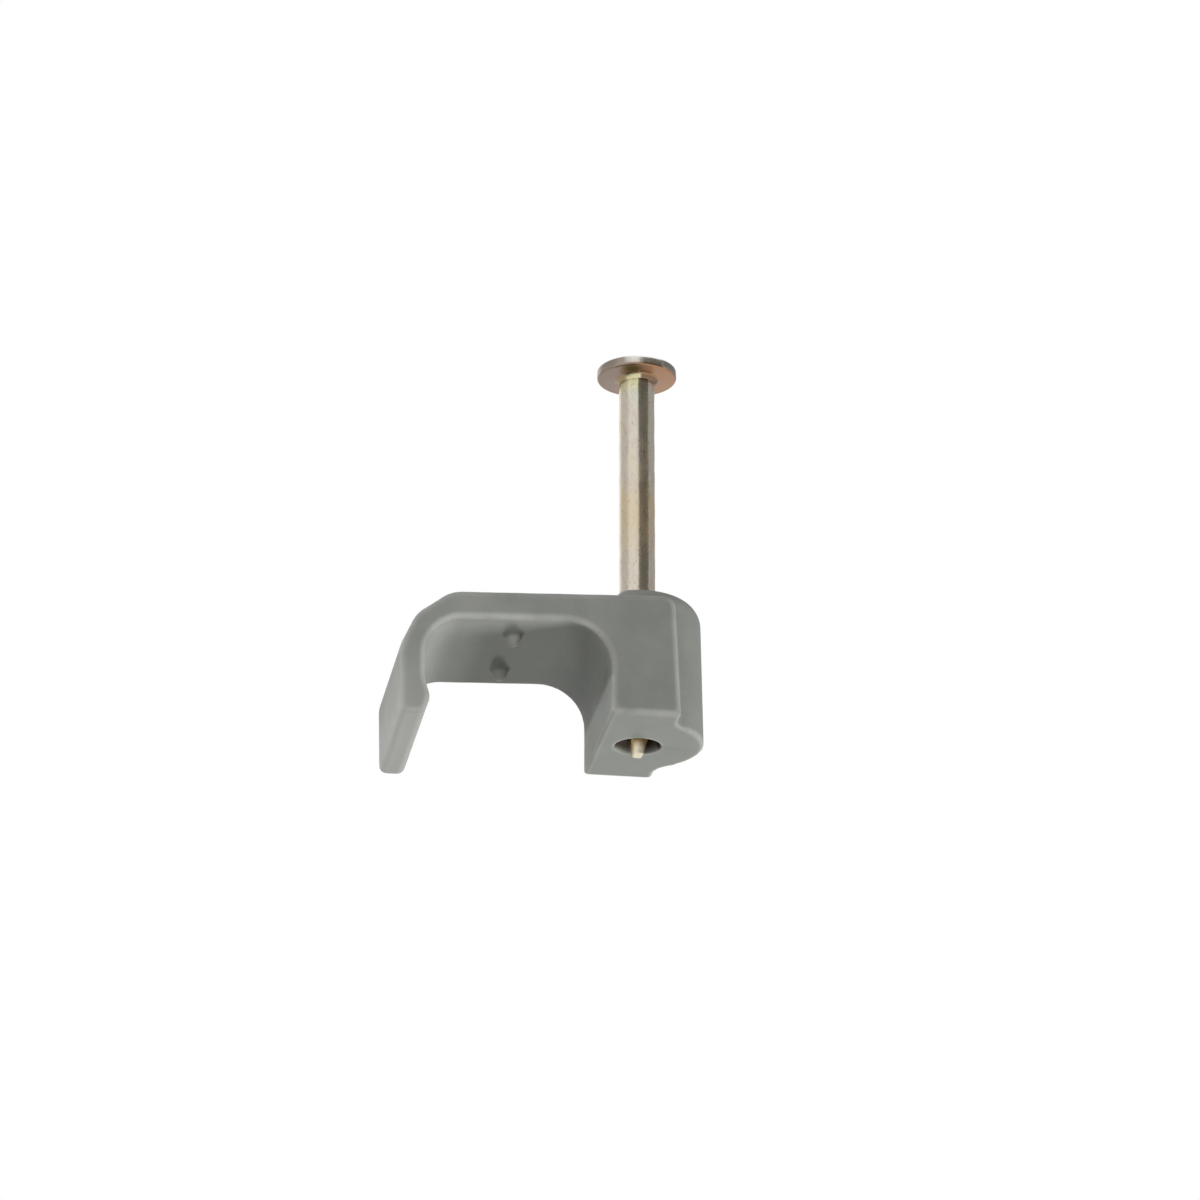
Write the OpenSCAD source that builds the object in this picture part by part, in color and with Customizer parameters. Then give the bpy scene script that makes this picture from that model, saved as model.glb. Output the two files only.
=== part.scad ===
// Nail-in cable clip
// A moulded hook that spans a flat cable, with a steel nail gripped in the round tower at one side.
// Millimetres, +Z up along the nail. X runs from the leg to the tower and Y along the cable.
// The origin is on the nail's axis, in the face that meets the wall.

/* [Cable channel] */
// width between the leg and the boss
channel_w = 10.25; // [8:0.05:14]
// height of the ceiling at the boss
channel_h = 5.35; // [4.5:0.05:7]
// fillet from the ceiling to the boss
boss_fillet = 2.6; // [1:0.1:3]
// fillet from the ceiling to the leg
leg_fillet = 2.1; // [0.8:0.1:2.4]
// width of each pointed grip pip where it leaves the ceiling
pip_d = 1.1; // [0.7:0.05:1.4]
// width of the rounded end of each pip
pip_tip = 0.5; // [0.2:0.05:0.6]
// height of each pip, its rounded end included
pip_h = 0.7; // [0.4:0.05:0.9]
// distance between the two pips, along the cable
pip_pitch = 5.3; // [3:0.1:7]

/* [Hook] */
// depth of the clip along the cable
clip_d = 10.2; // [8.5:0.1:16]
// thickness of the bridge at the boss
bridge_t = 1.75; // [1.2:0.05:2]
// thinning of the bridge towards the leg
bridge_taper = 0.1; // [0:0.05:0.3]
// fall of the bridge from the boss to the leg
bridge_fall = 0.4; // [0:0.05:0.5]
// thickness of the leg
leg_t = 1.4; // [1.2:0.05:2]
// reach of the foot past the wall face, which the nail draws tight
foot_reach = 0.6; // [0.2:0.05:0.8]
// lean of the leg's outer face, in towards the foot
leg_tuck = 0.1; // [0:0.02:0.3]
// height of the retaining lip into the channel
lip_h = 0.32; // [0.1:0.01:0.4]
// distance from the wall face up to the lip's crest
lip_z = 0.4; // [0.2:0.05:0.7]
// distance from the wall face up to where the lip runs out into the leg
lip_root = 1.5; // [1.2:0.05:1.8]
// rounding of the lip's crest
lip_round = 0.6; // [0.4:0.05:0.8]
// length of the shoulder along the top of the bridge
shoulder_l = 2.8; // [2:0.1:3.5]
// length of the shoulder down the leg
shoulder_h = 3.45; // [2.6:0.05:4]
// distance of the shoulder's middle corner in from the leg's outer face
shoulder_in = 0.9; // [0.6:0.05:1.1]
// distance of the shoulder's middle corner down from the top of the boss
shoulder_drop = 1.9; // [1.6:0.05:1.95]
// rounding of the shoulder's two upper corners
shoulder_round = 1.6; // [0.6:0.1:1.8]
// rounding of the slight bends in the leg
leg_round = 1.5; // [0.8:0.1:2]
// rounding of the moulded edges
edge_r = 0.3; // [0.1:0.05:0.3]
// rounding of the boss's two corners at the wall, which the moulded edges run round
wall_round = 0.35; // [0.35:0.05:0.6]
// rounding of the foot's two corners
foot_round = 0.4; // [0.35:0.05:0.6]

/* [Boss and tower] */
// nail axis to the channel side of the boss
boss_in = 2.25; // [1.8:0.05:3]
// nail axis to the outer side of the boss, at the wall
boss_out = 1.6; // [1.2:0.05:2.5]
// lean of the boss's outer side over its height
boss_draft = 0.3; // [0:0.05:0.4]
// rounding of the boss's top corner
boss_round = 0.65; // [0.4:0.05:1]
// radius of the tower at the wall
tower_r = 3.65; // [3:0.05:4.2]
// taper of the tower up to its rounded top, on the radius
tower_draft = 0.15; // [0:0.01:0.3]
// step from the boss's rounded corner at the wall back to the tower's flat
flat_back = 0.05; // [0.05:0.05:0.3]
// bevel of the tower's edge at the wall
tower_bevel = 0.12; // [0.05:0.01:0.3]
// rounding of the tower's top
tower_round = 1.4; // [1:0.1:2]
// height of the tower above the wall face
tower_h = 8.4; // [7.8:0.05:11]
// radius of the hollow blend from the boss's outer side to the tower
web_r = 1.6; // [0.8:0.1:2]
// bite of the blend into the boss and the tower
web_bite = 0.02; // [0.01:0.01:0.06]

/* [Nail] */
// diameter of the shank
shank_d = 2; // [1.6:0.1:2.4]
// length from the point to the underside of the head
nail_l = 22.85; // [18:0.05:40]
// reach of the point past the wall face, as supplied
point_out = 0.65; // [0:0.05:1.5]
// length of the four-sided point
point_l = 3; // [1.5:0.1:4]
// width of the blunt end of the point
point_w = 0.3; // [0.1:0.05:0.6]
// diameter of the head
head_d = 4.5; // [3.6:0.1:6]
// thickness of the head at its rim
head_t = 0.6; // [0.4:0.05:1]
// rise of the crown over the rim
crown_h = 0.12; // [0:0.02:0.3]
// size of the cone where the shank meets the head
neck_h = 0.15; // [0.1:0.05:0.5]
// bevel of the head's rim
rim_bevel = 0.14; // [0.05:0.01:0.2]

/* [Fits] */
// clearance of the shank in its bore, on the radius
nail_clear = 0.05; // [0.02:0.01:0.1]
// clearance of the nail's neck in its countersink, when the nail is driven home
neck_clear = 0.1; // [0.05:0.01:0.2]
// widening of the bore at the wall face, on the radius
mouth_flare = 0.2; // [0.05:0.05:0.4]
// length of the widened mouth
mouth_l = 1.6; // [0.5:0.1:3]

/* [Hidden] */
$fn = 96;
clip_grey = [0.47, 0.48, 0.45];
nail_gold = [0.8, 0.7, 0.47];
// steps in a quarter turn of a moulded corner, and in a moulded edge
arc_steps = 8;
edge_steps = 4;
// overlap of a cutter past the face it opens
over = 1;

top_z = channel_h + bridge_t;
boss_top = boss_out - boss_draft;
leg_in = -boss_in - channel_w;
leg_out = leg_in - leg_t;
flat_x = boss_in - wall_round - flat_back;
bore_r = shank_d / 2 + nail_clear;
point_z = -point_out;
head_z = point_z + nail_l;

// side view of the hook as [x, z, corner radius], anticlockwise from the wall face of the boss
hook = [
    [boss_out, 0, wall_round],
    [boss_top, top_z, boss_round],
    // shoulder, in two flats, over the top of the leg
    [leg_out + shoulder_l, top_z - bridge_fall - bridge_taper, shoulder_round],
    [leg_out + shoulder_in, top_z - shoulder_drop, shoulder_round],
    [leg_out, top_z - bridge_fall - shoulder_h, leg_round],
    // foot
    [leg_out + leg_tuck, -foot_reach, foot_round],
    [leg_in, -foot_reach, foot_round],
    // retaining lip
    [leg_in + lip_h, lip_z, lip_round],
    [leg_in, lip_root, leg_round],
    // ceiling of the channel
    [leg_in, channel_h - bridge_fall, leg_fillet],
    [-boss_in, channel_h, boss_fillet],
    [-boss_in, 0, wall_round]
];

function unit(v) = v / norm(v);

// points and outward normals of the arc that rounds one corner between its two neighbours
function corner_arc(before, corner, after) =
    let (
        here = [corner.x, corner.y],
        back = unit([before.x, before.y] - here),
        ahead = unit([after.x, after.y] - here),
        half = acos(back * ahead) / 2,
        side = sign(cross(ahead, back)),
        centre = here + unit(back + ahead) * corner.z / sin(half),
        from = here + back * corner.z / tan(half) - centre,
        start = atan2(from.y, from.x),
        sweep = side * (180 - 2 * half),
        steps = ceil(abs(sweep) / 90 * arc_steps)
    )
    [for (i = [0:steps])
        let (a = start + sweep * i / steps, out = [cos(a), sin(a)])
        [centre + corner.z * out, side * out]];

// closed outline of rounded corners
function outline(corners) =
    let (n = len(corners))
    [for (i = [0:n - 1]) each corner_arc(corners[(i + n - 1) % n], corners[i], corners[(i + 1) % n])];

// whether p is in the triangle a, b, c or on its border
function covers(a, b, c, p) =
    cross(b - a, p - a) >= 0 && cross(c - b, p - b) >= 0 && cross(a - c, p - c) >= 0;

// whether corner k of a flat outline can be cut off it with no other corner in the way
function is_ear(flat, left, k) =
    let (
        n = len(left),
        a = left[(k + n - 1) % n],
        b = left[k],
        c = left[(k + 1) % n],
        others = [for (m = left) if (m != a && m != b && m != c) flat[m]]
    )
    cross(flat[b] - flat[a], flat[c] - flat[b]) > 0
    && len([for (p = others) if (covers(flat[a], flat[b], flat[c], p)) p]) == 0;

function first_ear(flat, left, k = 0) =
    is_ear(flat, left, k) || k == len(left) - 1 ? k : first_ear(flat, left, k + 1);

// triangles that fill a flat outline, as indices of its points
function fill(flat, left) =
    let (n = len(left))
    n == 3 ? [left] :
    let (
        k = first_ear(flat, left),
        ear = [left[(k + n - 1) % n], left[k], left[(k + 1) % n]]
    )
    concat([ear], fill(flat, [for (i = [0:n - 1]) if (i != k) left[i]]));

// plate of the given side view, depth d along Y, with its front and back edges rounded by e
module moulded_plate(corners, d, e) {
    ring = outline(corners);
    n = len(ring);
    turns = [for (i = [0:edge_steps]) 90 - 90 * i / edge_steps];
    stations = concat(
        [for (a = turns) [e * (1 - cos(a)), e - d / 2 - e * sin(a)]],
        [for (i = [edge_steps:-1:0]) [e * (1 - cos(turns[i])), d / 2 - e + e * sin(turns[i])]]
    );
    last = len(stations) - 1;
    points = [for (s = stations, q = ring)
        let (p = q[0] - s.x * q[1])
        [p.x, s.y, p.y]];
    cap = fill([for (q = ring) q[0] - e * q[1]], [for (i = [0:n - 1]) i]);
    faces = concat(
        [for (t = cap) [t[2], t[1], t[0]]],
        [for (t = cap) [for (i = t) last * n + i]],
        [for (k = [0:last - 1], i = [0:n - 1])
            let (j = (i + 1) % n)
            [k * n + i, k * n + j, (k + 1) * n + j, (k + 1) * n + i]]
    );
    polyhedron(points, faces, convexity = 6);
}

// quarter of a disc in the first quadrant
module quarter(r)
    intersection() {
        circle(r);
        square(r + over);
    }

// tower that guides the nail: round outside, flat on the channel side, with a broad rounded top
module tower() {
    shoulder_z = tower_h - tower_round;
    top_r = tower_r - tower_draft;
    intersection() {
        rotate_extrude() {
            polygon([
                [0, 0],
                [tower_r - tower_bevel, 0],
                [tower_r, tower_bevel],
                [top_r, shoulder_z],
                [0, shoulder_z]
            ]);
            translate([0, shoulder_z]) square([top_r - tower_round, tower_round]);
            translate([top_r - tower_round, shoulder_z]) quarter(tower_round);
        }
        rotate([90, 0, 0])
            linear_extrude(2 * (tower_r + over), center = true) {
                translate([-flat_x, -over]) square([flat_x + tower_r + over, shoulder_z + over]);
                translate([tower_round - flat_x, shoulder_z])
                    square([flat_x + tower_r + over - tower_round, tower_round + over]);
                translate([tower_round - flat_x, shoulder_z]) mirror([1, 0]) quarter(tower_round);
            }
    }
}

// hollow blends from the boss's outer side round to the tower, leaning with that side
module webs() {
    reach = tower_r + web_r;
    centre_x = boss_out + web_r;
    centre_y = sqrt(reach * reach - centre_x * centre_x);
    on_tower = [centre_x, centre_y] * tower_r / reach;
    web_top = top_z - boss_round - edge_r;
    for (side = [0, 1])
        mirror([0, side, 0])
            intersection() {
                translate([boss_out, 0, 0])
                    rotate([0, -atan(boss_draft / top_z), 0])
                        translate([-boss_out, 0, -over])
                            linear_extrude(web_top + 2 * over)
                                difference() {
                                    polygon([
                                        [boss_out - over, centre_y],
                                        [centre_x, centre_y],
                                        on_tower,
                                        on_tower - [over, over]
                                    ]);
                                    translate([centre_x, centre_y]) circle(web_r + web_bite);
                                }
                cube([reach, reach, web_top]);
            }
}

// two pointed pips that bite on the cable's sheath, halfway along the ceiling
module pips() {
    tip_r = pip_tip / 2;
    root_z = channel_h - bridge_fall / 2;
    for (side = [-1, 1])
        translate([-boss_in - channel_w / 2, side * pip_pitch / 2, root_z]) {
            mirror([0, 0, 1]) cylinder(d1 = pip_d, d2 = pip_tip, h = pip_h - tip_r);
            translate([0, 0, tip_r - pip_h]) sphere(tip_r);
            // root that carries the pip into the sloping ceiling
            cylinder(d = pip_d, h = bridge_t / 2);
        }
}

// bore for the nail, widened at the wall and countersunk at the top
module nail_bore() {
    translate([0, 0, -over]) cylinder(r = bore_r, h = tower_h + 2 * over);
    translate([0, 0, -over]) cylinder(r = bore_r + mouth_flare, h = mouth_l + over);
    translate([0, 0, tower_h - neck_h - neck_clear])
        cylinder(r1 = bore_r, r2 = bore_r + neck_h + over, h = neck_h + over);
}

// grey moulded hook, boss and tower, in one piece
module clip_body()
    color(clip_grey)
    difference() {
        union() {
            moulded_plate(hook, clip_d, edge_r);
            tower();
            webs();
            pips();
        }
        nail_bore();
    }

// plated steel nail with a flat head and a four-sided point, standing as supplied
module nail() {
    shank_r = shank_d / 2;
    head_r = head_d / 2;
    rise = point_l / (shank_r - point_w / 2);
    color(nail_gold)
    difference() {
        rotate_extrude()
            polygon([
                [0, point_z],
                [shank_r, point_z],
                [shank_r, head_z - neck_h],
                [shank_r + neck_h, head_z],
                [head_r - rim_bevel, head_z],
                [head_r, head_z + rim_bevel],
                [head_r, head_z + head_t - rim_bevel],
                [head_r - rim_bevel, head_z + head_t],
                [0, head_z + head_t + crown_h]
            ]);
        // the four flats of the point
        for (turn = [0:90:270])
            rotate([90, 0, turn])
                translate([point_w / 2, point_z, -shank_d])
                    linear_extrude(2 * shank_d)
                        polygon([[-over / rise, -over], [shank_d, -over], [shank_d, shank_d * rise]]);
    }
}

clip_body();
nail();
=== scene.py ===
# Nail-in cable clip: a grey moulded hook that spans a flat cable, with a plated steel nail in its tower.
# Each piece is modelled in millimetres, on the frame's own axes, and then scaled down to metres.
import math

import bmesh
import bpy
import numpy as np
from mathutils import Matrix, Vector


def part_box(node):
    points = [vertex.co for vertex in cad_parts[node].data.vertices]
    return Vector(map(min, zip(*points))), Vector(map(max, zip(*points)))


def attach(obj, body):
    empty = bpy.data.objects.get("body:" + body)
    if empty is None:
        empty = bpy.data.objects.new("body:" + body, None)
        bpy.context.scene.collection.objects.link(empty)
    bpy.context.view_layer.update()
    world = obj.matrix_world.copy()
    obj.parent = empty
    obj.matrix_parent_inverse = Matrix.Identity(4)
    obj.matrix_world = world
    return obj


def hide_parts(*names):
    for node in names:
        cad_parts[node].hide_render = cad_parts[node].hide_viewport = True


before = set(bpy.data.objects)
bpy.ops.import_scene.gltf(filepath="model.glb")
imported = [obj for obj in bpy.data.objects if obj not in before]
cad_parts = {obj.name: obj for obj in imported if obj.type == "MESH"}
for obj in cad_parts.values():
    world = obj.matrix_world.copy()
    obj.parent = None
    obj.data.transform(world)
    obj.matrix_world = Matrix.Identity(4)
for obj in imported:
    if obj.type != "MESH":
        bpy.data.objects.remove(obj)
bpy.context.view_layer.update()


# The clip is one injection moulding in grey polyethylene: a leg and a bridge that close over the cable,
# a boss beside it, and a tower round the nail. Its edges are softly rounded, as they leave the mould.
MM = 0.001
clip_low, clip_high = (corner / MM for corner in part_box("clip_body"))
half_depth = clip_high.y
channel_width = 10.25
channel_height = 5.35
bridge_thickness = 1.75
bridge_taper = 0.1
bridge_fall = 0.4
bridge_top = channel_height + bridge_thickness
boss_inner = 2.25
boss_outer = 1.6
boss_lean = 0.3
boss_rounding = 0.65
boss_fillet = 2.6
edge_rounding = 0.28
wall_rounding = 0.2
leg_thickness = 1.4
leg_inner = -boss_inner - channel_width
leg_outer = leg_inner - leg_thickness
leg_fillet = 2.1
leg_rounding = 1.5
shoulder_reach = 2.8
shoulder_step = 0.9
shoulder_drop = 1.9
shoulder_height = 3.45
shoulder_rounding = 1.6
foot_z = clip_low.z
foot_tuck = 0.1
foot_rounding = 0.4
lip = 0.32
lip_z = 0.4
lip_rounding = 0.6
lip_root_z = 1.5
# a vertex that is no further off than this counts as lying on a plane or at a corner
slack = 0.01

# side view of the hook as (x, z, rounding), from the wall face of the boss over the bridge to the leg
hook_corners = [
    (boss_outer, 0, wall_rounding),
    (boss_outer - boss_lean, bridge_top, boss_rounding),
    (leg_outer + shoulder_reach, bridge_top - bridge_fall - bridge_taper, shoulder_rounding),
    (leg_outer + shoulder_step, bridge_top - shoulder_drop, shoulder_rounding),
    (leg_outer, bridge_top - bridge_fall - shoulder_height, leg_rounding),
    (leg_outer + foot_tuck, foot_z, foot_rounding),
    (leg_inner, foot_z, foot_rounding),
    (leg_inner + lip, lip_z, lip_rounding),
    (leg_inner, lip_root_z, leg_rounding),
    (leg_inner, channel_height - bridge_fall, leg_fillet),
    (-boss_inner, channel_height, boss_fillet),
    (-boss_inner, 0, wall_rounding),
]


def choose(kind, wanted):
    """Selects the vertices, edges or faces in edit mode that pass the test, and nothing else."""
    bpy.ops.mesh.select_mode(type=kind)
    bpy.ops.mesh.select_all(action="DESELECT")
    mesh = bmesh.from_edit_mesh(bpy.context.object.data)
    for part in {"VERT": mesh.verts, "EDGE": mesh.edges, "FACE": mesh.faces}[kind]:
        if wanted(part):
            part.select_set(True)
    mesh.select_flush_mode()
    bmesh.update_edit_mesh(bpy.context.object.data)


def pull(x, y, z):
    """Extrudes what is selected and moves it by that much."""
    bpy.ops.mesh.extrude_region_move(TRANSFORM_OT_translate={"value": (x, y, z)})


def begin_piece(name):
    """Names the primitive just added, puts its place into its mesh and opens it in edit mode."""
    piece = bpy.context.object
    piece.name = name
    bpy.ops.object.transform_apply(location=True, rotation=True, scale=True)
    bpy.ops.object.mode_set(mode="EDIT")
    return piece


def pick(piece):
    """Selects one object alone and makes it the active one."""
    bpy.ops.object.select_all(action="DESELECT")
    piece.select_set(True)
    bpy.context.view_layer.objects.active = piece


def trim(piece, cutter, operation):
    """Cuts the cutter's solid out of the piece, or keeps only what the two have in common."""
    pick(piece)
    cut = piece.modifiers.new("trim", "BOOLEAN")
    cut.operation = operation
    cut.solver = "EXACT"
    cut.object = cutter
    bpy.ops.object.modifier_apply(modifier=cut.name)


# hook: its side view is drawn corner by corner, rounded, and pulled out to the clip's depth
bpy.ops.object.select_all(action="DESELECT")
first_x, first_z, _ = hook_corners[0]
bpy.ops.mesh.primitive_plane_add(size=1, location=(first_x, -half_depth, first_z))
clip = begin_piece("clip_moulding")
bpy.ops.mesh.merge(type="CENTER")
for (x0, z0, _), (x1, z1, _) in zip(hook_corners, hook_corners[1:]):
    pull(x1 - x0, 0, z1 - z0)
bpy.ops.mesh.select_all(action="SELECT")
bpy.ops.mesh.edge_face_add()
for i, (x, z, rounding) in enumerate(hook_corners):
    corner = Vector((x, -half_depth, z))
    before_x, before_z, _ = hook_corners[i - 1]
    after_x, after_z, _ = hook_corners[(i + 1) % len(hook_corners)]
    back = Vector((before_x - x, before_z - z))
    ahead = Vector((after_x - x, after_z - z))
    choose("VERT", lambda v: (v.co - corner).length < slack)
    bpy.ops.mesh.bevel(
        offset=rounding / math.tan(back.angle(ahead) / 2),
        segments=10,
        affect="VERTICES",
        clamp_overlap=False,
    )
choose("FACE", lambda f: True)
pull(0, 2 * half_depth, 0)
bpy.ops.mesh.select_all(action="SELECT")
bpy.ops.mesh.normals_make_consistent(inside=False)
choose("EDGE", lambda e: abs(e.verts[0].co.y + e.verts[1].co.y) > 2 * half_depth - slack)
bpy.ops.mesh.bevel(offset=edge_rounding, segments=4, affect="EDGES", clamp_overlap=False)
bpy.ops.object.mode_set(mode="OBJECT")

# tower: a tapered round post, flat on the channel side, with a broad rounded top
tower_radius = clip_high.x
tower_top = clip_high.z
tower_taper = 0.15
tower_rounding = 1.4
tower_bevel = 0.12
flat_behind = 0.2
flat_x = boss_inner - wall_rounding - flat_behind
bpy.ops.object.select_all(action="DESELECT")
bpy.ops.mesh.primitive_cylinder_add(
    vertices=96, radius=tower_radius, depth=tower_top, location=(0, 0, tower_top / 2)
)
tower = begin_piece("tower")
choose("FACE", lambda f: f.normal.z > 0.9)
narrowed = 1 - tower_taper / tower_radius
bpy.ops.transform.resize(value=(narrowed, narrowed, 1))
choose("EDGE", lambda e: all(v.co.z > tower_top - slack for v in e.verts))
bpy.ops.mesh.bevel(offset=tower_rounding, segments=12, affect="EDGES")
choose("EDGE", lambda e: all(v.co.z < slack for v in e.verts))
bpy.ops.mesh.bevel(offset=tower_bevel, segments=3, affect="EDGES")
bpy.ops.object.mode_set(mode="OBJECT")
# a block larger than the tower keeps what is on its side of the flat; a hair parts their two tops
block = 4 * tower_radius
hair = 0.002
bpy.ops.object.select_all(action="DESELECT")
bpy.ops.mesh.primitive_cube_add(
    size=block, location=(block / 2 - flat_x, 0, tower_top + hair - block / 2)
)
side_flat = begin_piece("side_flat")
choose("EDGE", lambda e: all(v.co.z > tower_top - slack and v.co.x < 0 for v in e.verts))
bpy.ops.mesh.bevel(offset=tower_rounding, segments=12, affect="EDGES")
bpy.ops.object.mode_set(mode="OBJECT")
trim(tower, side_flat, "INTERSECT")
bpy.data.objects.remove(side_flat)

# hollow blends that run from the boss's outer side round to the tower, one on each side
blend_radius = 1.6
blend_top = bridge_top - boss_rounding - edge_rounding
blend_reach = tower_radius + blend_radius
blend_x = boss_outer + blend_radius
blend_y = math.sqrt(blend_reach ** 2 - blend_x ** 2)
blend_width = 1.5
blend_depth = 2.4
blend_bite = 0.02
sunk_in_boss = 0.6
# cutters run on this far past the ends of what they cut
past_end = 1
blends = []
for side in (-1, 1):
    bpy.ops.object.select_all(action="DESELECT")
    bpy.ops.mesh.primitive_cube_add(size=1, location=(0.5, 0.5 * side, 0.5))
    blends.append(begin_piece("blend"))
    # the block runs from inside the boss to inside the tower, and leans with the boss's outer side
    bpy.ops.mesh.select_all(action="SELECT")
    bpy.ops.transform.resize(value=(blend_width, blend_depth, blend_top), center_override=(0, 0, 0))
    bpy.ops.transform.translate(value=(boss_outer - sunk_in_boss, side * (blend_y - blend_depth), 0))
    choose("VERT", lambda v: v.co.z > blend_top - slack)
    bpy.ops.transform.translate(value=(-boss_lean * blend_top / bridge_top, 0, 0))
    bpy.ops.object.mode_set(mode="OBJECT")
    bpy.ops.object.select_all(action="DESELECT")
    bpy.ops.mesh.primitive_cylinder_add(
        vertices=96,
        radius=blend_radius + blend_bite,
        depth=blend_top + 2 * past_end,
        location=(blend_x, side * blend_y, blend_top / 2),
    )
    hollow = begin_piece("hollow")
    choose("VERT", lambda v: v.co.z > blend_top)
    bpy.ops.transform.translate(value=(-boss_lean * (blend_top + past_end) / bridge_top, 0, 0))
    bpy.ops.object.mode_set(mode="OBJECT")
    trim(blends[-1], hollow, "DIFFERENCE")
    bpy.data.objects.remove(hollow)

# two pointed pips on the ceiling, which bite on the cable's sheath
pip_width = 1.1
pip_tip = 0.5
pip_height = 0.7
pip_spacing = 5.3
pip_root = 0.8
pip_rounding = 0.2
pip_x = -boss_inner - channel_width / 2
pip_z = channel_height - bridge_fall / 2
pips = []
for side in (-1, 1):
    bpy.ops.object.select_all(action="DESELECT")
    bpy.ops.mesh.primitive_cylinder_add(
        vertices=48,
        radius=pip_width / 2,
        depth=pip_root,
        location=(pip_x, side * pip_spacing / 2, pip_z + pip_root / 2),
    )
    pips.append(begin_piece("pip"))
    choose("FACE", lambda f: f.normal.z < -0.9)
    pull(0, 0, -pip_height)
    bpy.ops.transform.resize(value=(pip_tip / pip_width, pip_tip / pip_width, 1))
    choose("EDGE", lambda e: all(v.co.z < pip_z - pip_height + slack for v in e.verts))
    bpy.ops.mesh.bevel(offset=pip_rounding, segments=5, affect="EDGES")
    bpy.ops.object.mode_set(mode="OBJECT")

# bore for the nail: a straight hole with a wider mouth at the wall and a countersink on top
bore_radius = 1.05
mouth_radius = 1.25
mouth_length = 1.6
sink_depth = 0.25
bpy.ops.object.select_all(action="DESELECT")
bpy.ops.mesh.primitive_cylinder_add(
    vertices=64,
    radius=mouth_radius,
    depth=mouth_length + past_end,
    location=(0, 0, (mouth_length - past_end) / 2),
)
bore = begin_piece("bore")
choose("FACE", lambda f: f.normal.z > 0.9)
bpy.ops.mesh.inset(thickness=mouth_radius - bore_radius)
pull(0, 0, tower_top - sink_depth - mouth_length)
pull(0, 0, sink_depth + past_end)
sink_flare = (bore_radius + sink_depth + past_end) / bore_radius
bpy.ops.transform.resize(value=(sink_flare, sink_flare, 1))
bpy.ops.object.mode_set(mode="OBJECT")
trim(clip, bore, "DIFFERENCE")
trim(tower, bore, "DIFFERENCE")
bpy.data.objects.remove(bore)

# hook, tower, blends and pips are one moulding: a fine even skin is drawn over them all and relaxed
skin_step = 0.1
bpy.ops.object.select_all(action="DESELECT")
for solid in (clip, tower, *blends, *pips):
    solid.select_set(True)
bpy.context.view_layer.objects.active = clip
bpy.ops.object.join()
bpy.ops.object.duplicate()
solids = bpy.context.object
pick(clip)
skin = clip.modifiers.new("moulded skin", "REMESH")
skin.mode = "VOXEL"
skin.voxel_size = skin_step
bpy.ops.object.modifier_apply(modifier=skin.name)
seat = clip.modifiers.new("seated on the solids", "SHRINKWRAP")
seat.target = solids
bpy.ops.object.modifier_apply(modifier=seat.name)
relax = clip.modifiers.new("relax", "SMOOTH")
relax.factor = 0.5
relax.iterations = 4
bpy.ops.object.modifier_apply(modifier=relax.name)
bpy.data.objects.remove(solids)
# the blends run out softly at the top, between the boss's rounded edge and the tower
soft_height = 0.7
soft_margin = 0.6
soft_overlap = 0.1
bpy.ops.object.mode_set(mode="EDIT")
choose(
    "VERT",
    lambda v: boss_outer - soft_margin < v.co.x < blend_x - soft_margin
    and blend_y - blend_radius < abs(v.co.y) < blend_y + soft_overlap
    and abs(v.co.z - blend_top) < soft_height,
)
bpy.ops.mesh.vertices_smooth(factor=0.5, repeat=25)
bpy.ops.object.mode_set(mode="OBJECT")
clip.scale = (MM, MM, MM)
bpy.ops.object.transform_apply(location=True, rotation=True, scale=True)
bpy.ops.object.shade_smooth()


def mark_edges(piece, spread):
    """Stores how sharply the surface bends outwards at each vertex, in 1/m, for the wear and the painted
    highlight on edges.
    """
    mesh = piece.data
    count = len(mesh.vertices)
    spots = np.empty(3 * count)
    mesh.vertices.foreach_get("co", spots)
    facing = np.empty(3 * count)
    mesh.vertices.foreach_get("normal", facing)
    ends = np.empty(2 * len(mesh.edges), dtype=np.int32)
    mesh.edges.foreach_get("vertices", ends)
    near, far = ends.reshape(-1, 2).T
    step = spots.reshape(-1, 3)[far] - spots.reshape(-1, 3)[near]
    turn = facing.reshape(-1, 3)[far] - facing.reshape(-1, 3)[near]
    bend = (turn * step).sum(axis=1) / (step ** 2).sum(axis=1)
    links = np.bincount(ends, minlength=count)
    value = (np.bincount(near, bend, count) + np.bincount(far, bend, count)) / links
    for _ in range(spread):
        value = (np.bincount(near, value[far], count) + np.bincount(far, value[near], count)) / links
    mesh.attributes.new("edge", "FLOAT", "POINT").data.foreach_set("value", value)


def new_material(name):
    """A node material, with its node tree and its Principled shader."""
    material = bpy.data.materials.new(name)
    material.use_nodes = True
    return material, material.node_tree, material.node_tree.nodes["Principled BSDF"]


def add_node(tree, kind, **values):
    """Adds a node; values named after its sockets are set on them, and others on the node itself."""
    node = tree.nodes.new(kind)
    for key, value in values.items():
        socket = key.replace("_", " ")
        if socket in node.inputs:
            node.inputs[socket].default_value = value
        else:
            setattr(node, key, value)
    return node


def remap(tree, source, start, end, low=0, high=1):
    """A value that goes from low to high as the source goes from start to end."""
    node = add_node(tree, "ShaderNodeMapRange", From_Min=start, From_Max=end, To_Min=low, To_Max=high)
    tree.links.new(source, node.inputs["Value"])
    return node.outputs["Result"]


def fade(tree, source, start, end):
    """A mask that grows from 0 to 1 as the source goes from start to end, in millimetres."""
    return remap(tree, source, start * MM, end * MM)


def both(tree, first, second, operation="MULTIPLY"):
    """Where the two masks overlap, or with MAXIMUM, where either of them is."""
    joint = add_node(tree, "ShaderNodeMath", operation=operation)
    tree.links.new(first, joint.inputs[0])
    tree.links.new(second, joint.inputs[1])
    return joint.outputs["Value"]


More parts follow.
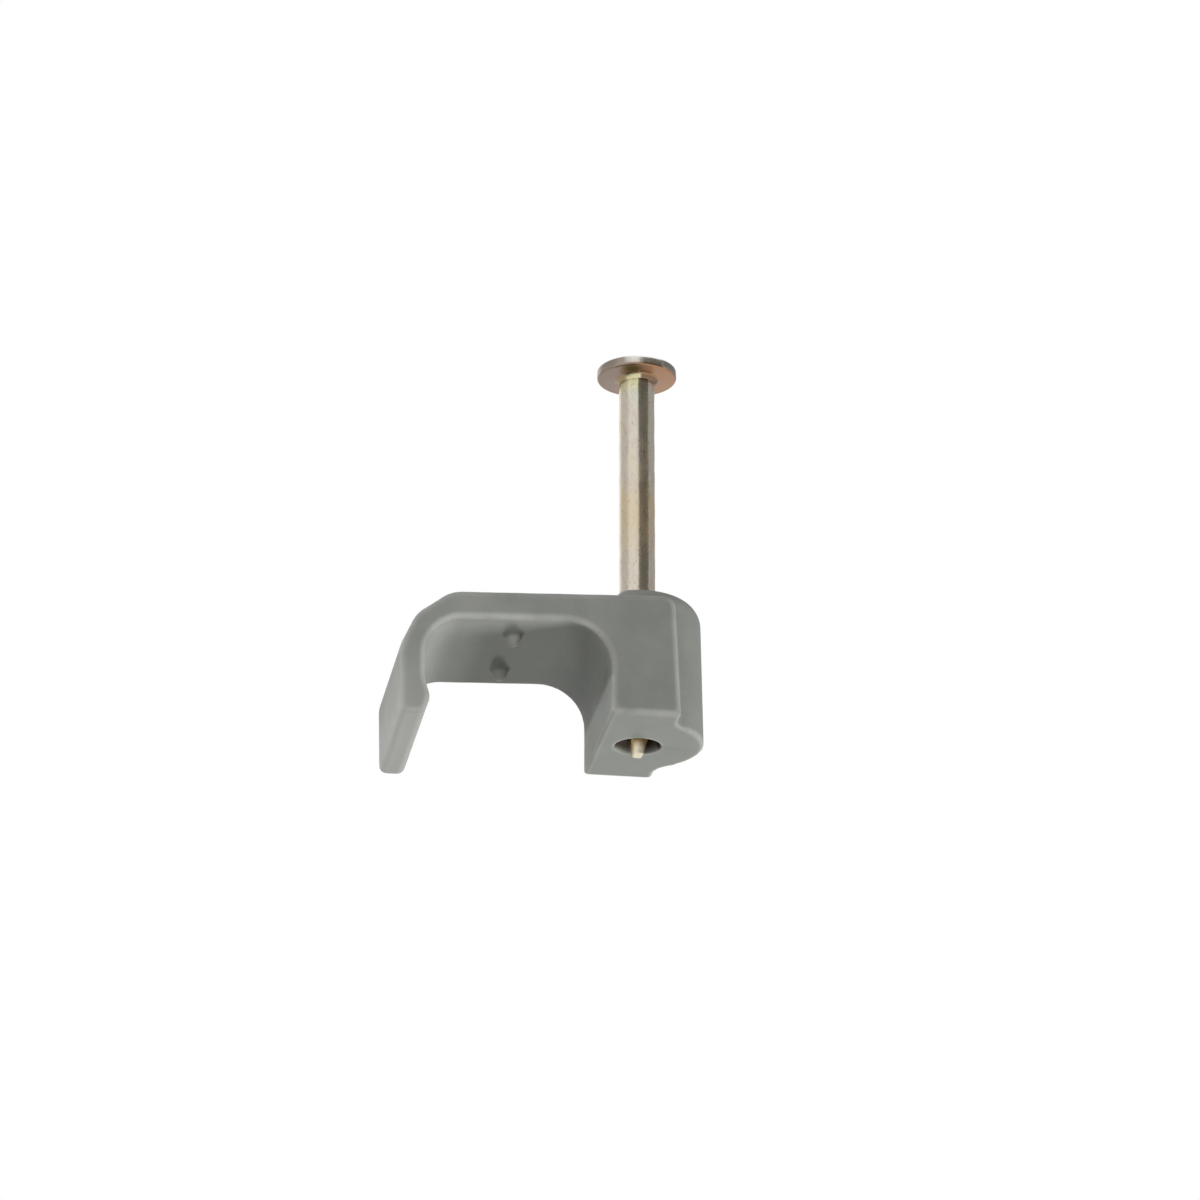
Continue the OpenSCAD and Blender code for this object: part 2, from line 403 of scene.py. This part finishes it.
def tints(tree, source, shades):
    """Colours that follow the source, from a list of its values and the colour at each."""
    ramp = add_node(tree, "ShaderNodeValToRGB")
    stops = ramp.color_ramp.elements
    for value, shade in shades:
        stops.new(value).color = shade
    stops.remove(stops[-1])
    stops.remove(stops[0])
    tree.links.new(source, ramp.inputs["Fac"])
    return ramp.outputs["Color"]


def stain(tree, under, colour, mask):
    """Lays a colour over what is under it, as far as the mask says."""
    layer = add_node(tree, "ShaderNodeMix", data_type="RGBA")
    layer.inputs["B"].default_value = colour
    tree.links.new(mask, layer.inputs["Factor"])
    tree.links.new(under, layer.inputs["A"])
    return layer.outputs["Result"]


# broad clouds and a fine grain, which the plastic and the plating both carry at their own scales
mottle = bpy.data.node_groups.new("mottle", "ShaderNodeTree")
mottle.interface.new_socket("Vector", in_out="INPUT", socket_type="NodeSocketVector")
for layer in ("Cloud", "Grain"):
    mottle.interface.new_socket(layer + " Scale", in_out="INPUT", socket_type="NodeSocketFloat")
    mottle.interface.new_socket(layer + " Detail", in_out="INPUT", socket_type="NodeSocketFloat")
    mottle.interface.new_socket(layer, in_out="OUTPUT", socket_type="NodeSocketFloat")
entry = add_node(mottle, "NodeGroupInput")
result = add_node(mottle, "NodeGroupOutput")
for layer in ("Cloud", "Grain"):
    noise = add_node(mottle, "ShaderNodeTexNoise", Roughness=0.6)
    mottle.links.new(entry.outputs["Vector"], noise.inputs["Vector"])
    mottle.links.new(entry.outputs[layer + " Scale"], noise.inputs["Scale"])
    mottle.links.new(entry.outputs[layer + " Detail"], noise.inputs["Detail"])
    mottle.links.new(noise.outputs["Fac"], result.inputs[layer])

# edges that are rubbed in handling and painted with a highlight, from where they bend this much in 1/m,
# broken up by a patchy noise
least_bend = 300
rubbing_and_highlight = bpy.data.node_groups.new("rubbing_and_highlight", "ShaderNodeTree")
rubbing_and_highlight.interface.new_socket("Patches", in_out="INPUT", socket_type="NodeSocketFloat")
rubbing_and_highlight.interface.new_socket("Full Wear", in_out="INPUT", socket_type="NodeSocketFloat")
rubbing_and_highlight.interface.new_socket("Rubbed And Highlit", in_out="OUTPUT", socket_type="NodeSocketFloat")
entry = add_node(rubbing_and_highlight, "NodeGroupInput")
result = add_node(rubbing_and_highlight, "NodeGroupOutput")
bend = add_node(rubbing_and_highlight, "ShaderNodeAttribute", attribute_name="edge")
worn = add_node(rubbing_and_highlight, "ShaderNodeMapRange", From_Min=least_bend)
rubbing_and_highlight.links.new(bend.outputs["Fac"], worn.inputs["Value"])
rubbing_and_highlight.links.new(entry.outputs["Full Wear"], worn.inputs["From Max"])
patchy = remap(rubbing_and_highlight, entry.outputs["Patches"], 0.3, 0.6, low=0.35)
rubbing_and_highlight.links.new(both(rubbing_and_highlight, worn.outputs["Result"], patchy), result.inputs["Rubbed And Highlit"])

plastic_shades = (
    (0.32, (0.218, 0.227, 0.209, 1)),
    (0.68, (0.258, 0.265, 0.243, 1)),
)
speck_grey = (0.14, 0.145, 0.135, 1)
# a painted light tone for the free end of the leg
painted_light_on_leg = (0.3, 0.305, 0.285, 1)
# a painted highlight tone for the tips of the pips
painted_highlight_on_tips = (0.5, 0.5, 0.47, 1)
# a pale tone for edges, partly real rubbing and partly a painted highlight
rubbed_and_highlit_pale = (0.34, 0.345, 0.32, 1)
# a painted shade tone for the bore
painted_bore_shade = (0.06, 0.05, 0.038, 1)
grain_height = 0.02 * MM
mark_edges(clip, spread=2)
plastic, tree, shader = new_material("grey_polyethylene")
place = add_node(tree, "ShaderNodeTexCoord").outputs["Object"]
sides = add_node(tree, "ShaderNodeSeparateXYZ")
tree.links.new(place, sides.inputs["Vector"])
x = sides.outputs["X"]
z = sides.outputs["Z"]
marks = add_node(
    tree,
    "ShaderNodeGroup",
    node_tree=mottle,
    Cloud_Scale=420,
    Cloud_Detail=4,
    Grain_Scale=9000,
    Grain_Detail=3,
)
tree.links.new(place, marks.inputs["Vector"])
cloud = marks.outputs["Cloud"]
grain = marks.outputs["Grain"]
colour = tints(tree, cloud, plastic_shades)
colour = stain(tree, colour, speck_grey, remap(tree, grain, 0.3, 0.42, low=0.25, high=0))
# painted light: the free end of the leg and its foot are painted paler, as if lit more strongly
painted_leg_light = both(tree, fade(tree, x, leg_inner + 1.5, leg_inner - 1), fade(tree, z, 3.5, 0))
colour = stain(tree, colour, painted_light_on_leg, painted_leg_light)
# painted highlight: the tips of the pips are painted paler, where their rounded ends catch light from
# below
pip_left = pip_x - pip_width
pip_right = pip_x + pip_width
on_pips = both(tree, fade(tree, x, pip_left, pip_left + 0.1), fade(tree, x, pip_right, pip_right - 0.1))
painted_tip_highlight = both(tree, on_pips, fade(tree, z, pip_z - 0.1, pip_z - 0.45))
colour = stain(tree, colour, painted_highlight_on_tips, painted_tip_highlight)
# edges are painted pale, partly real rubbing and partly a painted highlight, and painted shade darkens
# the bore low down
edges = add_node(tree, "ShaderNodeGroup", node_tree=rubbing_and_highlight, Full_Wear=1500)
tree.links.new(cloud, edges.inputs["Patches"])
colour = stain(tree, colour, rubbed_and_highlit_pale, edges.outputs["Rubbed And Highlit"])
flattened = add_node(tree, "ShaderNodeVectorMath", operation="MULTIPLY")
flattened.inputs[1].default_value = (1, 1, 0)
tree.links.new(place, flattened.inputs[0])
from_axis = add_node(tree, "ShaderNodeVectorMath", operation="LENGTH")
tree.links.new(flattened.outputs["Vector"], from_axis.inputs[0])
in_bore = fade(tree, from_axis.outputs["Value"], mouth_radius + 0.11, mouth_radius + 0.02)
low_down = both(tree, fade(tree, z, -0.1, 0.4), fade(tree, z, 6, 3))
colour = stain(tree, colour, painted_bore_shade, both(tree, low_down, in_bore))
tree.links.new(colour, shader.inputs["Base Color"])
tree.links.new(remap(tree, cloud, 0.3, 0.7, low=0.44, high=0.6), shader.inputs["Roughness"])
texture = add_node(tree, "ShaderNodeBump", Strength=0.3, Distance=grain_height)
tree.links.new(grain, texture.inputs["Height"])
tree.links.new(texture.outputs["Normal"], shader.inputs["Normal"])
shader.inputs["IOR"].default_value = 1.5
shader.inputs["Specular IOR Level"].default_value = 0.1
clip.data.materials.append(plastic)
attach(clip, "clip")
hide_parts("clip_body")


# The nail is drawn steel wire with a flat upset head and a four-sided nipped point, zinc plated and
# yellow passivated. It is pressed into the tower's bore and stands proud until it is hammered home.
nail_low, nail_high = (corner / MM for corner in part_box("nail"))
shank_radius = 1.0
head_radius = nail_high.x
head_thickness = 0.6
crown = 0.12
crown_steps = 4
crown_inset = 0.4
neck = 0.25
rim_rounding = 0.14
point_length = 3
point_width = 0.5
point_rounding = 0.2
head_z = nail_high.z - crown - head_thickness
rim_top = head_z + head_thickness
shank_length = head_z - neck - nail_low.z
draw_steps = 30
waver = 0.008
waver_turn = 2.3
bpy.ops.object.select_all(action="DESELECT")
bpy.ops.mesh.primitive_cylinder_add(
    vertices=64, radius=shank_radius, depth=point_length, location=(0, 0, nail_low.z + point_length / 2)
)
nail = begin_piece("nail_shank_and_head")
choose("FACE", lambda f: f.normal.z > 0.9)
# the wire is drawn up in short steps, and barrel plating leaves it a hair wider or narrower at each
for step in range(draw_steps):
    pull(0, 0, (shank_length - point_length) / draw_steps)
    angle = step * waver_turn
    widened = 1 + waver * (math.sin(angle) - math.sin(angle - waver_turn))
    bpy.ops.transform.resize(value=(widened, widened, 1))
pull(0, 0, neck)
neck_flare = (shank_radius + neck) / shank_radius
bpy.ops.transform.resize(value=(neck_flare, neck_flare, 1))
pull(0, 0, 0)
rim_now = max(v.co.xy.length for v in bmesh.from_edit_mesh(nail.data).verts)
bpy.ops.transform.resize(value=(head_radius / rim_now, head_radius / rim_now, 1))
pull(0, 0, head_thickness)
choose(
    "EDGE",
    lambda e: all(v.co.xy.length > head_radius - slack for v in e.verts)
    and abs(e.verts[0].co.z - e.verts[1].co.z) < slack,
)
bpy.ops.mesh.bevel(offset=rim_rounding, segments=8, affect="EDGES")
choose("FACE", lambda f: f.normal.z > 0.999 and f.calc_center_median().z > head_z)
for _ in range(crown_steps):
    bpy.ops.mesh.inset(thickness=crown_inset)
    bpy.ops.transform.translate(value=(0, 0, crown / crown_steps))
# the four flats of the point
lean = math.atan2(shank_radius - point_width / 2, point_length)
for quarter in range(4):
    turn = quarter * math.pi / 2
    bpy.ops.mesh.select_all(action="SELECT")
    bpy.ops.mesh.bisect(
        plane_co=(math.cos(turn) * point_width / 2, math.sin(turn) * point_width / 2, nail_low.z),
        plane_no=(math.cos(turn) * math.cos(lean), math.sin(turn) * math.cos(lean), -math.sin(lean)),
        clear_outer=True,
        use_fill=True,
    )
bpy.ops.mesh.select_all(action="SELECT")
bpy.ops.mesh.normals_make_consistent(inside=False)
choose("EDGE", lambda e: all(v.co.z < nail_low.z + slack for v in e.verts))
bpy.ops.mesh.bevel(offset=point_rounding, segments=4, affect="EDGES")
bpy.ops.object.mode_set(mode="OBJECT")
soften = nail.modifiers.new("soft edges", "BEVEL")
soften.width = 0.05
soften.segments = 2
soften.limit_method = "ANGLE"
soften.angle_limit = math.radians(25)
bpy.ops.object.modifier_apply(modifier=soften.name)
nail.scale = (MM, MM, MM)
bpy.ops.object.transform_apply(location=True, rotation=True, scale=True)
bpy.ops.object.shade_smooth_by_angle(angle=math.radians(35))

film_shades = (
    (0.3, (0.69, 0.66, 0.56, 1)),
    (0.42, (0.75, 0.69, 0.57, 1)),
    (0.5, (0.72, 0.63, 0.515, 1)),
    (0.58, (0.77, 0.7, 0.57, 1)),
    (0.7, (0.78, 0.67, 0.46, 1)),
)
golden = (0.78, 0.62, 0.38, 1)
# a painted highlight yellow for the front of the neck
painted_neck_highlight = (0.8, 0.74, 0.44, 1)
# painted shade for the two sides of the neck
right_neck_shade = (0.25, 0.16, 0.1, 1)
left_neck_shade = (0.34, 0.26, 0.14, 1)
# painted shade for the point, and a painted highlight for its end
painted_point_shade = (0.36, 0.26, 0.12, 1)
painted_point_highlight = (0.88, 0.81, 0.62, 1)
copper = (0.42, 0.235, 0.135, 1)
# painted shade for one side of the underside
painted_underside_shade = (0.3, 0.225, 0.18, 1)
# painted shade for a blot beside the neck
painted_shadow_brown = (0.09, 0.06, 0.025, 1)
# painted shade for the two sides of the rim
painted_rim_shade_brown = (0.36, 0.3, 0.25, 1)
painted_rim_shade_dark = (0.3, 0.31, 0.28, 1)
# pale zinc for the middle of the rim, partly real wear and partly a painted highlight
bare_zinc_and_highlight = (0.88, 0.89, 0.9, 1)
pit_brown = (0.3, 0.25, 0.18, 1)
wave_height = 0.04 * MM
line_height = 0.01 * MM
mark_edges(nail, spread=1)
steel, tree, shader = new_material("yellow_zinc_steel")
place = add_node(tree, "ShaderNodeTexCoord").outputs["Object"]
sides = add_node(tree, "ShaderNodeSeparateXYZ")
tree.links.new(place, sides.inputs["Vector"])
x = sides.outputs["X"]
z = sides.outputs["Z"]
along = add_node(tree, "ShaderNodeMapping", Scale=(1, 1, 0.5))
tree.links.new(place, along.inputs["Vector"])
marks = add_node(
    tree,
    "ShaderNodeGroup",
    node_tree=mottle,
    Cloud_Scale=800,
    Cloud_Detail=3,
    Grain_Scale=8000,
    Grain_Detail=3,
)
tree.links.new(along.outputs["Vector"], marks.inputs["Vector"])
cloud = marks.outputs["Cloud"]
grain = marks.outputs["Grain"]
colour = tints(tree, cloud, film_shades)

# the film is golden half way up the shank; a painted highlight lays yellow down the front of the neck,
# painted shade browns the sides of the neck and the point, and a painted highlight makes the point's end
# pale
halfway = both(tree, fade(tree, z, 11, 13), fade(tree, z, 16, 14))
colour = stain(tree, colour, golden, both(tree, halfway, cloud))
off_head = fade(tree, z, head_z + 0.02, head_z - 0.02)
neck_highlight = both(tree, fade(tree, x, 0.2, -0.1), fade(tree, z, head_z - 1.2, head_z - 0.5))
colour = stain(tree, colour, painted_neck_highlight, both(tree, neck_highlight, off_head))
# painted shade: the sides of the neck are darkened, brown on one side and olive on the other
at_neck = both(tree, fade(tree, z, head_z - 0.5, head_z - 0.2), off_head)
colour = stain(tree, colour, right_neck_shade, both(tree, at_neck, fade(tree, x, 0, 0.12)))
colour = stain(tree, colour, left_neck_shade, both(tree, at_neck, fade(tree, x, -0.6, -0.8)))
# painted shade darkens the point down in the bore, and a painted highlight makes its end pale
colour = stain(tree, colour, painted_point_shade, fade(tree, z, 2, 0.6))
aside = add_node(tree, "ShaderNodeMath", operation="ABSOLUTE")
tree.links.new(x, aside.inputs[0])
painted_end_highlight = both(tree, fade(tree, z, 0.2, -0.2), fade(tree, aside.outputs["Value"], 0.36, 0.2))
colour = stain(tree, colour, painted_point_highlight, painted_end_highlight)
# under the head it turns to copper; painted shade makes one side browner and lays a dark blot beside the
# neck
shadow_blot_middle = Vector((-0.5, -1.65, head_z)) * MM
on_head = fade(tree, z, head_z - 0.1, head_z)
underside = both(tree, on_head, fade(tree, z, head_z + 0.2, head_z + 0.06))
colour = stain(tree, colour, copper, underside)
colour = stain(tree, colour, painted_underside_shade, both(tree, underside, fade(tree, x, 0.3, -1.2)))
# painted shade: a dark blot on the underside beside the neck
from_shadow_blot = add_node(tree, "ShaderNodeVectorMath", operation="DISTANCE")
from_shadow_blot.inputs[1].default_value = shadow_blot_middle
tree.links.new(place, from_shadow_blot.inputs[0])
painted_shadow_blot = both(tree, underside, fade(tree, from_shadow_blot.outputs["Value"], 0.7, 0.25))
colour = stain(tree, colour, painted_shadow_brown, painted_shadow_blot)
# painted shade darkens the rim, brown on one side and dull grey on the other
on_rim = both(tree, fade(tree, z, head_z + 0.08, head_z + 0.2), fade(tree, z, rim_top, rim_top - 0.1))
colour = stain(tree, colour, painted_rim_shade_brown, both(tree, on_rim, fade(tree, x, -0.6, -1.1)))
colour = stain(tree, colour, painted_rim_shade_dark, both(tree, on_rim, fade(tree, x, 0.9, 1.3)))
# between the two, its upper edge is pale bare zinc, partly rubbed by hammering and handling and partly a
# painted highlight
edges = add_node(tree, "ShaderNodeGroup", node_tree=rubbing_and_highlight, Full_Wear=3000)
tree.links.new(cloud, edges.inputs["Patches"])
between = both(tree, fade(tree, x, -1.1, -0.6), fade(tree, x, 1.3, 0.9))
upper = fade(tree, z, head_z + 0.15, head_z + 0.4)
rubbed_and_highlit_rim = both(tree, both(tree, edges.outputs["Rubbed And Highlit"], between), upper)
colour = stain(tree, colour, bare_zinc_and_highlight, rubbed_and_highlit_rim)
colour = stain(tree, colour, pit_brown, remap(tree, grain, 0.3, 0.42, low=0.45, high=0))
tree.links.new(colour, shader.inputs["Base Color"])
tree.links.new(remap(tree, cloud, 0.3, 0.7, low=0.2, high=0.32), shader.inputs["Roughness"])
# the plating lies in faint waves, over fine lines from the drawing die
waves = add_node(tree, "ShaderNodeBump", Strength=0.4, Distance=wave_height)
tree.links.new(cloud, waves.inputs["Height"])
die_lines = add_node(tree, "ShaderNodeMapping", Scale=(1, 1, 0.015))
tree.links.new(place, die_lines.inputs["Vector"])
drawn = add_node(tree, "ShaderNodeTexNoise", Scale=7000, Detail=2)
tree.links.new(die_lines.outputs["Vector"], drawn.inputs["Vector"])
lines = add_node(tree, "ShaderNodeBump", Strength=0.4, Distance=line_height)
tree.links.new(drawn.outputs["Fac"], lines.inputs["Height"])
tree.links.new(waves.outputs["Normal"], lines.inputs["Normal"])
tree.links.new(lines.outputs["Normal"], shader.inputs["Normal"])
shader.inputs["Metallic"].default_value = 1
nail.data.materials.append(steel)
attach(nail, "driven_nail")
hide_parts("nail")


# The stage is a wide pale floor far below the clip, which the camera looks up from, in a white room.
# Soft panels stand round the clip, the strong ones low at the right and at the rear, so that the front
# is the dim side. Two small panels stand close by and lift the leg and the foot.
def seen_rays(tree):
    """Rays that see the room itself: from the camera, off a glossy surface or through a clear one."""
    rays = add_node(tree, "ShaderNodeLightPath").outputs
    direct = both(tree, rays["Is Camera Ray"], rays["Is Glossy Ray"], "MAXIMUM")
    return both(tree, direct, rays["Is Transmission Ray"], "MAXIMUM")


def turn_to(thing, target, front):
    """Turns the front of a lamp, a card or the camera to the target."""
    thing.rotation_euler = (target - thing.location).to_track_quat(front, "Y").to_euler()


floor_size = 40
floor_z = -0.4
floor_glow = 0.88
bpy.ops.object.select_all(action="DESELECT")
bpy.ops.mesh.primitive_plane_add(size=floor_size, location=(0, 0, floor_z))
floor = bpy.context.object
floor.name = "floor"
pale, tree, shader = new_material("pale_floor")
shader.inputs["Base Color"].default_value = (0.8, 0.8, 0.8, 1)
shader.inputs["Roughness"].default_value = 0.9
glow = add_node(tree, "ShaderNodeEmission", Color=(1, 1, 1, 1), Strength=1)
paleness = add_node(tree, "ShaderNodeMath", operation="MULTIPLY")
paleness.inputs[1].default_value = floor_glow
tree.links.new(seen_rays(tree), paleness.inputs[0])
either = add_node(tree, "ShaderNodeMixShader")
tree.links.new(paleness.outputs["Value"], either.inputs["Fac"])
tree.links.new(shader.outputs["BSDF"], either.inputs[1])
tree.links.new(glow.outputs["Emission"], either.inputs[2])
tree.links.new(either.outputs["Shader"], tree.nodes["Material Output"].inputs["Surface"])
floor.data.materials.append(pale)

world = bpy.data.worlds.new("white_room")
bpy.context.scene.world = world
world.use_nodes = True
tree = world.node_tree
tree.nodes.clear()
soft_light = add_node(tree, "ShaderNodeBackground", Color=(1, 1, 1, 1), Strength=0.01)
white = add_node(tree, "ShaderNodeBackground", Color=(1, 1, 1, 1), Strength=1)
either = add_node(tree, "ShaderNodeMixShader")
tree.links.new(seen_rays(tree), either.inputs["Fac"])
tree.links.new(soft_light.outputs["Background"], either.inputs[1])
tree.links.new(white.outputs["Background"], either.inputs[2])
sky = add_node(tree, "ShaderNodeOutputWorld")
tree.links.new(either.outputs["Shader"], sky.inputs["Surface"])

clip_middle = Vector((-0.005, 0, 0.003))
for name, spot, size, watts in (
    ("right_low_panel", (0.33, -0.09, -0.197), 0.1, 1.65),
    ("rear_low_panel", (0.074, 0.372, -0.121), 0.05, 0.93),
    ("left_panel", (-0.399, 0, 0.0725), 0.2, 0.68),
    ("left_low_panel", (-0.391, 0, -0.1026), 0.015, 0.51),
    ("front_panel", (-0.005, -0.394, 0.0725), 0.2, 0.37),
    ("near_front_panel", (-0.018, -0.032, 0.008), 0.02, 0.004),
    ("near_foot_panel", (-0.022, 0, -0.008), 0.008, 0.0004),
    ("top_panel", (-0.005, 0.0695, 0.397), 0.25, 0.56),
):
    bpy.ops.object.light_add(type="AREA", location=spot)
    panel = bpy.context.object
    panel.name = name
    panel.data.size = size
    panel.data.energy = watts
    turn_to(panel, clip_middle, "-Z")
    panel.visible_camera = False
    panel.visible_glossy = False

# cards seen only in reflections: the dark one draws the band down the nail, the grey ones shade its sides
card_height = 0.55
for name, spot, width, tone in (
    ("dark_card", (0.243, -0.343, 0.05), 0.584, (0.13, 0.12, 0.105, 1)),
    ("right_card", (0.42, 0.18, 0.17), 0.7, (0.42, 0.42, 0.43, 1)),
    ("left_card", (-0.41, 0.08, 0.17), 0.54, (0.61, 0.61, 0.63, 1)),
    ("pale_card", (-0.259, -0.331, 0.17), 0.52, (0.88, 0.9, 0.93, 1)),
):
    bpy.ops.mesh.primitive_plane_add(size=card_height, location=spot)
    card = bpy.context.object
    card.name = name
    card.scale.x = width / card_height
    turn_to(card, clip_middle, "Z")
    card.visible_camera = False
    card.visible_diffuse = False
    card.visible_shadow = False
    card.visible_transmission = False
    board, tree, shader = new_material(name + "_board")
    shader.inputs["Base Color"].default_value = (0, 0, 0, 1)
    shader.inputs["Specular IOR Level"].default_value = 0
    shader.inputs["Emission Color"].default_value = tone
    shader.inputs["Emission Strength"].default_value = 1
    card.data.materials.append(board)

bpy.ops.object.camera_add(location=(-0.043525, -0.259893, -0.097879))
camera = bpy.context.object
camera.name = "camera"
camera_target = Vector((-0.0021139, 0, 0.0086078))
turn_to(camera, camera_target, "-Z")
camera.data.sensor_width = 36
camera.data.lens = 152.46
camera.data.clip_start = 0.01
bpy.context.scene.camera = camera
bpy.context.scene.view_settings.view_transform = "Standard"
